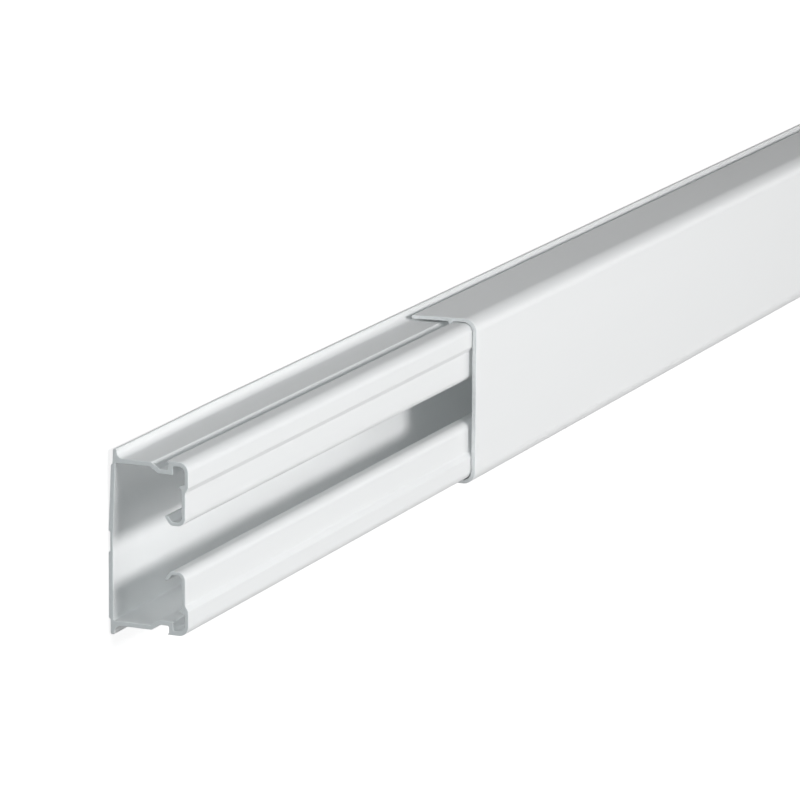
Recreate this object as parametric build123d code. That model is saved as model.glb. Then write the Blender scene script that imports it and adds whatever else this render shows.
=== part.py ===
from build123d import *
import os

# Mini cable trunking: an extruded back section and an extruded clip-on cover.
# Millimetres. X runs along the length, Y across the width, and Z from the back
# face towards the open front. The origin is the middle of the whole thing's
# underside, with the trunking lying on its back.

# Stock lengths, and where the cover stands along the back section
BASE_LENGTH = 2000.0
COVER_LENGTH = 2000.0
COVER_SETBACK = 152.0

# Back plate
BACK_WIDTH = 40.0
BACK_THICKNESS = 1.0
CENTRE_RECESS_WIDTH = 4.0
CENTRE_RECESS_DEPTH = 0.35
EDGE_RELIEF_WIDTH = 3.2
EDGE_RELIEF_DEPTH = 0.35
FOOT_THICKNESS = 0.95
FOOT_EDGE_RADIUS = 0.35
FOOT_FILLET = 1.5

# Side walls, and the groove that the cover's rib snaps into
SIDE_WALL = 1.0
FRONT_WALL = 0.85
CHANNEL_WIDTH = 36.0
GROOVE_DEPTH = 1.3
GROOVE_RAMP_START = 9.9
GROOVE_RAMP_END = 11.8
GROOVE_FRONT = 13.9
BARB_HEIGHT = 0.3
BARB_WIDTH = 0.45

# Folded heads along the front, with a stepped face and a lip curled inwards
HEAD_WIDTH = 37.2
HEAD_FRONT = 18.4
HEAD_RADIUS = 2.2
INSIDE_RADIUS = 0.4
STEP_POSITION = 13.2
STEP_DEPTH = 0.7
STEP_RUN = 1.2
INNER_RIB_POSITION = 13.3
INNER_RIB_HEIGHT = 0.7
INNER_RIB_WIDTH = 1.2
SLOT_WIDTH = 9.8
LIP_WALL = 0.8
LIP_RADIUS = 1.8
LIP_REAR = 12.9
LIP_BEND = 14.2
LIP_BEND_RADIUS = 1.2
LIP_CURL = 2.0

# Cover, and the running gaps between it and the heads
COVER_FRONT_WALL = 1.0
COVER_SIDE_WALL = 0.85
FRONT_GAP = 0.2
SIDE_GAP = 0.35
RIB_GAP = 0.2
COVER_EDGE = 3.2
COVER_TOE_IN = 0.4
COVER_INSIDE_RADIUS = 2.3
COVER_EDGE_RADIUS = 0.35
CLIP_RIB_REACH = 1.5
CLIP_RIB_THICKNESS = 0.7
CLIP_RIB_SLOPE = 0.3
CLIP_RIB_RADIUS = 0.2

# Places worked out from the sizes above
base_start = -(COVER_SETBACK + COVER_LENGTH) / 2
cover_start = base_start + COVER_SETBACK
back_edge = BACK_WIDTH / 2
foot_front = EDGE_RELIEF_DEPTH + FOOT_THICKNESS
wall_outside = CHANNEL_WIDTH / 2
wall_inside = wall_outside - SIDE_WALL
groove_outside = wall_outside - GROOVE_DEPTH
groove_inside = groove_outside - SIDE_WALL
head_outside = HEAD_WIDTH / 2
head_inside = head_outside - SIDE_WALL
step_front = HEAD_FRONT - STEP_DEPTH
step_end = STEP_POSITION - STEP_RUN
slot_edge = SLOT_WIDTH / 2
lip_inside = slot_edge + LIP_WALL
cover_inside = head_outside + SIDE_GAP
cover_outside = cover_inside + COVER_SIDE_WALL
cover_ceiling = HEAD_FRONT + FRONT_GAP
cover_front = cover_ceiling + COVER_FRONT_WALL
barb_rear = GROOVE_FRONT - BARB_HEIGHT
clip_rib_front = barb_rear - RIB_GAP
clip_rib_rear = clip_rib_front - CLIP_RIB_THICKNESS
clip_rib_tip = cover_inside - CLIP_RIB_REACH


def section(corners):
    """A face bounded by straight lines through (y, z, corner radius) triples."""
    points = [(y, z) for y, z, _ in corners]
    radii = [radius for _, _, radius in corners]
    return make_face(FilletPolyline(*points, radius=radii, close=True).edges())


def extrusion(half, start, length):
    """Both mirrored halves of a section, run along X from a start."""
    whole = half + mirror(half, about=Plane.YZ)
    return extrude(Plane.YZ.offset(start) * whole, amount=length)


def back_plate_corners():
    """Rear face and foot of the back section, from its centre line outwards."""
    recess_edge = CENTRE_RECESS_WIDTH / 2
    relief_edge = back_edge - EDGE_RELIEF_WIDTH
    return [
        (0, CENTRE_RECESS_DEPTH, 0),
        (recess_edge, CENTRE_RECESS_DEPTH, 0),
        (recess_edge + CENTRE_RECESS_DEPTH, 0, 0),
        (relief_edge - EDGE_RELIEF_DEPTH, 0, 0),
        (relief_edge, EDGE_RELIEF_DEPTH, 0),
        (back_edge, EDGE_RELIEF_DEPTH, FOOT_EDGE_RADIUS),
        (back_edge, foot_front, FOOT_EDGE_RADIUS),
        (wall_outside, foot_front, FOOT_FILLET),
    ]


def head_outside_corners():
    """Outer line of the side wall, groove, head, stepped face and lip."""
    return [
        (wall_outside, GROOVE_RAMP_START, INSIDE_RADIUS),
        (groove_outside, GROOVE_RAMP_END, INSIDE_RADIUS),
        (groove_outside, GROOVE_FRONT, INSIDE_RADIUS),
        (head_outside - BARB_WIDTH, GROOVE_FRONT, 0),
        (head_outside, barb_rear, 0),
        (head_outside, HEAD_FRONT, HEAD_RADIUS),
        (STEP_POSITION, HEAD_FRONT, INSIDE_RADIUS),
        (step_end, step_front, INSIDE_RADIUS),
        (slot_edge, step_front, LIP_RADIUS),
        (slot_edge, LIP_BEND, LIP_BEND_RADIUS),
        (slot_edge + LIP_CURL, LIP_REAR, LIP_WALL / 4),
    ]


def head_inside_corners():
    """Inner line of the lip, front wall, head, groove and side wall."""
    head_ceiling = HEAD_FRONT - FRONT_WALL
    step_ceiling = step_front - FRONT_WALL
    head_floor = GROOVE_FRONT + SIDE_WALL
    rib_half = INNER_RIB_WIDTH / 2
    return [
        (slot_edge + LIP_CURL, LIP_REAR + LIP_WALL, LIP_WALL / 4),
        (lip_inside, LIP_BEND + LIP_WALL / 2, INSIDE_RADIUS),
        (lip_inside, step_ceiling, LIP_RADIUS - LIP_WALL),
        (INNER_RIB_POSITION - rib_half, step_ceiling, 0),
        (INNER_RIB_POSITION, step_ceiling - INNER_RIB_HEIGHT, INSIDE_RADIUS / 2),
        (INNER_RIB_POSITION + rib_half, head_ceiling, 0),
        (head_inside, head_ceiling, HEAD_RADIUS - SIDE_WALL),
        (head_inside, head_floor, INSIDE_RADIUS),
        (groove_inside, head_floor, INSIDE_RADIUS / 2),
        (groove_inside, GROOVE_RAMP_END - SIDE_WALL / 4, INSIDE_RADIUS),
        (wall_inside, GROOVE_RAMP_START - SIDE_WALL / 4, INSIDE_RADIUS),
        (wall_inside, BACK_THICKNESS, INSIDE_RADIUS),
        (0, BACK_THICKNESS, 0),
    ]


def toed_in(y, z):
    """A place on a cover side, which leans in towards its rear edge."""
    return y - COVER_TOE_IN * (cover_front - z) / (cover_front - COVER_EDGE), z


def cover_corners():
    """Half of the cover: its front, rounded corner, side and clip rib."""
    clip_rib_root = clip_rib_rear - CLIP_RIB_SLOPE
    return [
        (0, cover_front, 0),
        (0, cover_ceiling, 0),
        (*toed_in(cover_inside, cover_ceiling), COVER_INSIDE_RADIUS),
        (*toed_in(cover_inside, clip_rib_front), CLIP_RIB_RADIUS),
        (clip_rib_tip, clip_rib_front, CLIP_RIB_RADIUS),
        (clip_rib_tip, clip_rib_rear, CLIP_RIB_RADIUS),
        (*toed_in(cover_inside, clip_rib_root), CLIP_RIB_RADIUS),
        (*toed_in(cover_inside, COVER_EDGE), COVER_EDGE_RADIUS),
        (*toed_in(cover_outside, COVER_EDGE), COVER_EDGE_RADIUS),
        (cover_outside, cover_front, COVER_INSIDE_RADIUS + COVER_SIDE_WALL),
    ]


base_half = section(
    back_plate_corners() + head_outside_corners() + head_inside_corners()
)
cover_half = section(cover_corners())

base = extrusion(base_half, base_start, BASE_LENGTH)
cover = extrusion(cover_half, cover_start, COVER_LENGTH)

os.makedirs("parts", exist_ok=True)
for name, solid in (("base", base), ("cover", cover)):
    solid.label = name
    export_step(solid, f"parts/{name}.step")
    print(name, "volume", round(solid.volume), "mm3")
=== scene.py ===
import math

import bmesh
import bpy
from mathutils import Matrix, Vector


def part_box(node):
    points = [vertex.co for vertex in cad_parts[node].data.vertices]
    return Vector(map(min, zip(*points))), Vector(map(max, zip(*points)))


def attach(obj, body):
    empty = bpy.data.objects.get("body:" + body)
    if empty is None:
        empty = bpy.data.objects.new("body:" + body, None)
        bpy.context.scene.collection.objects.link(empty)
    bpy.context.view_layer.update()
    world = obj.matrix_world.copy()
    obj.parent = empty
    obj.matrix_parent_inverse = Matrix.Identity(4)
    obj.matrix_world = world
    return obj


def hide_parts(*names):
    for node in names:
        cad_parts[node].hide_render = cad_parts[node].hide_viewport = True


# Mini cable trunking, lying on its back with its cover slid along. Metres.
MM = 0.001

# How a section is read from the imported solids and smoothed
WELD_DISTANCE = 0.002 * MM
SUPPORT_DISTANCE = 0.25 * MM
LONG_SIDE = 4 * SUPPORT_DISTANCE
SHARP_ANGLE = math.radians(32)

# The cut ends have a broken edge, narrower than the supports so that no side turns over
CUT_EDGE_RADIUS = 0.12 * MM
CUT_EDGE_STEPS = 4

# Spacing of the rings along an extrusion, close together where the back plate is sprung
NEAR_SPACING = 2 * MM
FAR_SPACING = 50 * MM

# The back plate's upper half is sprung forwards at the near end
SPRING_LENGTH = 60 * MM
SPRING_RISE = 0.75 * MM
SPRING_START_Y = 2.3 * MM
SPRING_FADE_Z = 10 * MM

# White rigid PVC. A stretch runs along X, and a scale is in features per metre.
PVC_IOR = 1.53
DIE_LINES = {"stretch": 400.0, "scale": 1400.0}
CLOUDING = {"stretch": 6.0, "scale": 60.0}
SURFACE_PEEL = {"stretch": 3.0, "scale": 900.0, "detail": 2.0}
SAW_MARKS = {"stretch": 0.02, "scale": 900.0, "detail": 4.0}
SAWN_GRAIN = {"stretch": 1.0, "scale": 4000.0}
SAW_MARK_DEPTH = 0.02 * MM
SAWN_SHINE = 0.55
SAWN_DULL = 0.75

# The camera, measured from the middle of the base's near end, on the floor
CAMERA_PLACE = Vector((-0.95345, 0.27423, 0.47691))
CAMERA_AIM = Vector((0.11019, 0.00918, 0.01840))
CAMERA_ROLL = math.radians(-0.437)
CAMERA_LENS = 237.25
CAMERA_SENSOR = 36.0

# Studio lamps, placed and aimed from the same point. A level is the share, at the aim, of
# full light. The far lamp is so wide that it gives only about two thirds of its level.
NEAR_AIM = Vector((0.10, 0.0, 0.01))
KEY_PLACE = Vector((0.0, 0.33, 1.00))
KEY_SIZE = (0.46, 0.24)
KEY_LEVEL = 0.62
RIGHT_PLACE = Vector((0.60, -0.80, 0.70))
RIGHT_SIZE = (0.50, 0.50)
RIGHT_LEVEL = 0.22
FAR_AIM = Vector((2.70, 0.0, 0.01))
FAR_PLACE = Vector((2.70, 0.10, 1.55))
FAR_SIZE = (2.80, 1.30)
FAR_LEVEL = 1.20
LOW_PLACE = Vector((-0.50, 0.50, 0.12))
LOW_SIZE = (0.30, 0.30)
LOW_LEVEL = 0.15
FILL_PLACE = Vector((-1.20, 0.30, 0.60))
FILL_SIZE = (0.40, 0.40)
FILL_LEVEL = 0.29

# Full light shows a colour as it is written: watts for each square metre of distance
FULL_LIGHT = math.pi**2

# The sky, and the floor as it lights the object and as the camera sees it
COOL_WHITE = (0.90, 0.98, 1.0)
SKY_LEVEL = 0.04
FLOOR_SIZE = 30.0
FLOOR_DROP = 0.1 * MM
FLOOR_TONE = 0.16
FLOOR_SHOWN_TONE = 0.30
FLOOR_SHOWN_GLOW = 0.82

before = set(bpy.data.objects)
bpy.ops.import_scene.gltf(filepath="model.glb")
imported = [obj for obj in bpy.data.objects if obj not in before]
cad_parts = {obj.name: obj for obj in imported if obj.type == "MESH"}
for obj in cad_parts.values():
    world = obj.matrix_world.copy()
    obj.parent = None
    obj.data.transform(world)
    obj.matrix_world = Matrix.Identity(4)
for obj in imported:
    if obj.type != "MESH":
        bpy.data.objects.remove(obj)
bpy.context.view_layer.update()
base_low, base_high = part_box("base")
near_end = Vector((base_low.x, 0.0, 0.0))


def grey(tone):
    """A neutral colour."""
    return (tone, tone, tone, 1.0)


def smooth_step(share):
    """0 to 1 with soft ends."""
    share = min(max(share, 0.0), 1.0)
    return share * share * (3 - 2 * share)


def ring_of(edges):
    """The vertices of a closed chain of edges, in order."""
    neighbours = {}
    for edge in edges:
        for vertex in edge.verts:
            neighbours.setdefault(vertex, []).append(edge.other_vert(vertex))
    first = edges[0].verts[0]
    ring = [first, neighbours[first][0]]
    while ring[-1] != first:
        ring.append(next(v for v in neighbours[ring[-1]] if v != ring[-2]))
    return ring[:-1]


def read_section(node):
    """The (y, z) corners of an extruded node's section, anticlockwise seen from +X."""
    bm = bmesh.new()
    bm.from_mesh(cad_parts[node].data)
    bmesh.ops.remove_doubles(bm, verts=bm.verts, dist=WELD_DISTANCE)
    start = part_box(node)[0].x
    end_faces = set()
    for face in bm.faces:
        if all(abs(v.co.x - start) < WELD_DISTANCE for v in face.verts):
            end_faces.add(face)
    rim = [e for e in bm.edges if len(end_faces.intersection(e.link_faces)) == 1]
    points = [Vector((v.co.y, v.co.z)) for v in ring_of(rim)]
    bm.free()
    twice_area = sum(p.x * q.y - q.x * p.y for p, q in zip(points, points[1:] + points[:1]))
    return points if twice_area > 0 else points[::-1]


def with_supports(points):
    """The outline with a point just inside each end of its long sides."""
    result = []
    for here, ahead in zip(points, points[1:] + points[:1]):
        side = ahead - here
        result.append(here)
        if side.length > LONG_SIDE:
            step = side.normalized() * SUPPORT_DISTANCE
            result += [here + step, ahead - step]
    return result


def inset(points, distance):
    """The outline moved into the material, with mitred corners."""
    befores = points[-1:] + points[:-1]
    aheads = points[1:] + points[:1]
    result = []
    for before, here, ahead in zip(befores, points, aheads):
        arriving = (here - before).normalized()
        leaving = (ahead - here).normalized()
        normal_in = Vector((arriving.y, -arriving.x))
        normal_out = Vector((leaving.y, -leaving.x))
        mitre = (normal_in + normal_out) / (1 + normal_in.dot(normal_out))
        result.append(here - mitre * distance)
    return result


def stations(start, end):
    """(x, inset) pairs along an extrusion, with both cut edges rounded."""
    rounding = []
    for step in range(CUT_EDGE_STEPS + 1):
        angle = math.pi / 2 * step / CUT_EDGE_STEPS
        along = CUT_EDGE_RADIUS * (1 - math.cos(angle))
        rounding.append((along, CUT_EDGE_RADIUS * (1 - math.sin(angle))))
    near = [(start + along, inward) for along, inward in rounding]
    far = [(end - along, inward) for along, inward in reversed(rounding)]
    fine_end = start + SPRING_LENGTH
    fine_count = round(SPRING_LENGTH / NEAR_SPACING)
    middle = [start + SPRING_LENGTH * k / fine_count for k in range(1, fine_count + 1)]
    coarse_count = round((end - fine_end) / FAR_SPACING)
    middle += [fine_end + (end - fine_end) * k / coarse_count for k in range(1, coarse_count)]
    return near + [(x, 0.0) for x in middle] + far


def spring_forwards(point):
    """The back plate's upper half, lifted towards the front beside the near end."""
    along = 1 - smooth_step((point.x - near_end.x) / SPRING_LENGTH)
    across = (point.y - SPRING_START_Y) / (base_high.y - SPRING_START_Y)
    up = 1 - smooth_step(point.z / SPRING_FADE_Z)
    lift = SPRING_RISE * along * max(across, 0.0) * up
    return Vector((point.x, point.y, point.z + lift))


def tube_faces(count, rings):
    """The faces that join rings of this many corners: first both ends, then the sides."""
    near_face = list(range(count))[::-1]
    far_face = list(range(count * (rings - 1), count * rings))
    faces = [near_face, far_face]
    for ring in range(rings - 1):
        row = ring * count
        for k in range(count):
            ahead = (k + 1) % count
            faces.append((row + k, row + ahead, row + count + ahead, row + count + k))
    return faces


def extruded_piece(name, node, surface, ends, distort=None):
    """A fine mesh of an extruded node, run along X between its cut ends."""
    outline = with_supports(read_section(node))
    low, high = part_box(node)
    points = []
    for x, inward in stations(low.x, high.x):
        for corner in inset(outline, inward):
            points.append(Vector((x, corner.x, corner.y)))
    if distort:
        points = [distort(p) for p in points]
    count = len(outline)
    mesh = bpy.data.meshes.new(name)
    mesh.from_pydata(points, [], tube_faces(count, len(points) // count))
    mesh.materials.append(surface)
    mesh.materials.append(ends)
    mesh.shade_smooth()
    mesh.set_sharp_from_angle(angle=SHARP_ANGLE)
    for cut_face in (mesh.polygons[0], mesh.polygons[1]):
        cut_face.material_index = mesh.materials.find(ends.name)
        cut_face.use_smooth = False
    mesh.update()
    piece = bpy.data.objects.new(name, mesh)
    bpy.context.scene.collection.objects.link(piece)
    return piece


class Graph:
    """The node tree of a material or world, with short ways to add and join nodes."""

    def __init__(self, owner):
        owner.use_nodes = True
        self.owner = owner
        self.tree = owner.node_tree
        self.tree.nodes.clear()

    def feed(self, socket, value):
        """Sets an input to a number or colour, or joins another node's output to it."""
        if isinstance(value, bpy.types.NodeSocket):
            self.tree.links.new(value, socket)
        else:
            socket.default_value = value

    def add(self, kind, *values, **inputs):
        """A node of this kind, with values for its first inputs and for named ones."""
        node = self.tree.nodes.new(kind)
        for socket, value in zip(node.inputs, values):
            self.feed(socket, value)
        for label, value in inputs.items():
            self.feed(node.inputs[label.replace("_", " ")], value)
        return node

    def stretched_noise(self, stretch, scale, detail=3.0):
        """Noise in the object's own metres, stretched along X."""
        place = self.add("ShaderNodeTexCoord").outputs["Object"]
        mapping = self.add("ShaderNodeMapping", Vector=place, Scale=(1 / stretch, 1, 1))
        vector = mapping.outputs["Vector"]
        noise = self.add("ShaderNodeTexNoise", Vector=vector, Scale=scale, Detail=detail)
        return noise.outputs["Fac"]

    def between(self, factor, low, high):
        """A number or colour between low and high, picked by a factor."""
        node = self.tree.nodes.new("ShaderNodeMix")
        node.data_type = "FLOAT" if isinstance(high, float) else "RGBA"
        sockets = [s for s in node.inputs if s.enabled]
        for socket, value in zip(sockets, (factor, low, high)):
            self.feed(socket, value)
        return next(s for s in node.outputs if s.enabled)

    def larger(self, one, other):
        """The larger of two numbers."""
        node = self.add("ShaderNodeMath", one, other)
        node.operation = "MAXIMUM"
        return node.outputs["Value"]

    def bump(self, height, depth, under=None):
        """A normal bent by a height of this depth, over another normal."""
        node = self.add("ShaderNodeBump", Height=height, Distance=depth)
        if under:
            self.feed(node.inputs["Normal"], under)
        return node.outputs["Normal"]

    def finish(self, shader):
        """The material or world, with a shader joined to its output."""
        is_world = isinstance(self.owner, bpy.types.World)
        kind = "ShaderNodeOutputWorld" if is_world else "ShaderNodeOutputMaterial"
        self.add(kind, Surface=shader)
        return self.owner


def extruded_pvc(name, pale, deep, shine, dull, line_depth):
    """White PVC as it leaves the die: faint long lines and a soft, slightly uneven gloss."""
    graph = Graph(bpy.data.materials.new(name))
    flow = graph.stretched_noise(**DIE_LINES)
    cloud = graph.stretched_noise(**CLOUDING)
    peel = graph.stretched_noise(**SURFACE_PEEL)
    streaks = graph.between(flow, deep, pale)
    lines = graph.bump(flow, line_depth)
    shader = graph.add(
        "ShaderNodeBsdfPrincipled",
        Base_Color=graph.between(cloud, streaks, pale),
        Roughness=graph.between(cloud, shine, dull),
        IOR=PVC_IOR,
        Normal=graph.bump(peel, line_depth / 2, under=lines),
    )
    return graph.finish(shader.outputs["BSDF"])


def sawn_pvc(name, pale, deep):
    """A sawn end of white PVC: dull, with fine saw marks across it."""
    graph = Graph(bpy.data.materials.new(name))
    marks = graph.stretched_noise(**SAW_MARKS)
    grain = graph.stretched_noise(**SAWN_GRAIN)
    shader = graph.add(
        "ShaderNodeBsdfPrincipled",
        Base_Color=graph.between(marks, deep, pale),
        Roughness=graph.between(grain, SAWN_SHINE, SAWN_DULL),
        IOR=PVC_IOR,
        Normal=graph.bump(marks, SAW_MARK_DEPTH),
    )
    return graph.finish(shader.outputs["BSDF"])


def camera_or_mirror(graph):
    """1 for rays straight from the camera, or from a glossy or clear surface."""
    rays = graph.add("ShaderNodeLightPath").outputs
    mirrored = graph.larger(rays["Is Glossy Ray"], rays["Is Transmission Ray"])
    return graph.larger(rays["Is Camera Ray"], mirrored)


def floor_material():
    """A pale floor that the camera sees as white, with the object's shadow kept."""
    graph = Graph(bpy.data.materials.new("studio_floor"))
    lit = graph.add("ShaderNodeBsdfDiffuse", Color=grey(FLOOR_TONE)).outputs["BSDF"]
    shown = graph.add("ShaderNodeBsdfDiffuse", Color=grey(FLOOR_SHOWN_TONE)).outputs["BSDF"]
    glow = graph.add("ShaderNodeEmission", Color=grey(1.0), Strength=FLOOR_SHOWN_GLOW)
    white = graph.add("ShaderNodeAddShader", shown, glow.outputs["Emission"])
    seen = camera_or_mirror(graph)
    chosen = graph.add("ShaderNodeMixShader", seen, lit, white.outputs["Shader"])
    return graph.finish(chosen.outputs["Shader"])


def make_floor():
    """The floor that the trunking lies on."""
    bpy.ops.mesh.primitive_plane_add(size=FLOOR_SIZE, location=(0, 0, -FLOOR_DROP))
    floor = bpy.context.object
    floor.name = "floor"
    floor.data.materials.append(floor_material())


def make_sky():
    """A soft even sky that the camera sees as white."""
    graph = Graph(bpy.data.worlds.new("studio_sky"))
    rays = graph.add("ShaderNodeLightPath").outputs
    light = graph.add("ShaderNodeBackground", Color=(*COOL_WHITE, 1), Strength=SKY_LEVEL)
    white = graph.add("ShaderNodeBackground", Color=grey(1.0))
    chosen = graph.add(
        "ShaderNodeMixShader",
        rays["Is Camera Ray"],
        light.outputs["Background"],
        white.outputs["Background"],
    )
    bpy.context.scene.world = graph.finish(chosen.outputs["Shader"])


def stand(name, data, place, aim, roll=0.0):
    """A lamp or camera at a place from the near end, looking at its aim with +Y up."""
    back = (place - aim).normalized()
    right = Vector((0, 1, 0)).cross(back).normalized()
    axes = Matrix((right, back.cross(right), back)).transposed()
    turned = Matrix.Rotation(roll, 3, -back) @ axes
    thing = bpy.data.objects.new(name, data)
    thing.matrix_world = Matrix.Translation(near_end + place) @ turned.to_4x4()
    bpy.context.scene.collection.objects.link(thing)
    return thing


def make_lamp(name, place, aim, size, level):
    """A soft lamp, its size along X and Y, giving this share of full light at its aim."""
    data = bpy.data.lights.new(name, "AREA")
    data.shape = "ELLIPSE"
    data.size, data.size_y = size
    data.energy = level * FULL_LIGHT * (aim - place).length_squared
    stand(name, data, place, aim)
    return data


def make_lamps():
    """A key and three weaker lamps round the near end, and a wide one over the far stretch."""
    make_lamp("key", KEY_PLACE, NEAR_AIM, KEY_SIZE, KEY_LEVEL)
    make_lamp("right", RIGHT_PLACE, NEAR_AIM, RIGHT_SIZE, RIGHT_LEVEL)
    make_lamp("far", FAR_PLACE, FAR_AIM, FAR_SIZE, FAR_LEVEL)
    low = make_lamp("low", LOW_PLACE, NEAR_AIM, LOW_SIZE, LOW_LEVEL)
    low.color = COOL_WHITE
    fill = make_lamp("fill", FILL_PLACE, NEAR_AIM, FILL_SIZE, FILL_LEVEL)
    fill.color = COOL_WHITE
    fill.use_shadow = False


def make_camera():
    """The photograph's view: from beyond the near end, above the front, with +Y up."""
    data = bpy.data.cameras.new("camera")
    data.lens = CAMERA_LENS
    data.sensor_width = CAMERA_SENSOR
    bpy.context.scene.camera = stand("camera", data, CAMERA_PLACE, CAMERA_AIM, CAMERA_ROLL)


def make_base():
    """The back section."""
    surface = extruded_pvc(
        "base_white_pvc",
        pale=grey(0.87),
        deep=(0.85, 0.853, 0.855, 1),
        shine=0.52,
        dull=0.62,
        line_depth=0.006 * MM,
    )
    ends = sawn_pvc("base_sawn_pvc", pale=grey(0.88), deep=grey(0.78))
    piece = extruded_piece("base_extrusion", "base", surface, ends, spring_forwards)
    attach(piece, "trunking_base")
    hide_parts("base")


def make_cover():
    """The clip-on cover."""
    surface = extruded_pvc(
        "cover_white_pvc",
        pale=grey(0.885),
        deep=(0.87, 0.872, 0.873, 1),
        shine=0.48,
        dull=0.58,
        line_depth=0.004 * MM,
    )
    ends = sawn_pvc("cover_sawn_pvc", pale=grey(0.88), deep=grey(0.76))
    piece = extruded_piece("cover_extrusion", "cover", surface, ends)
    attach(piece, "trunking_cover")
    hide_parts("cover")


make_base()
make_cover()
make_floor()
make_sky()
make_lamps()
make_camera()
bpy.context.scene.view_settings.view_transform = "Standard"
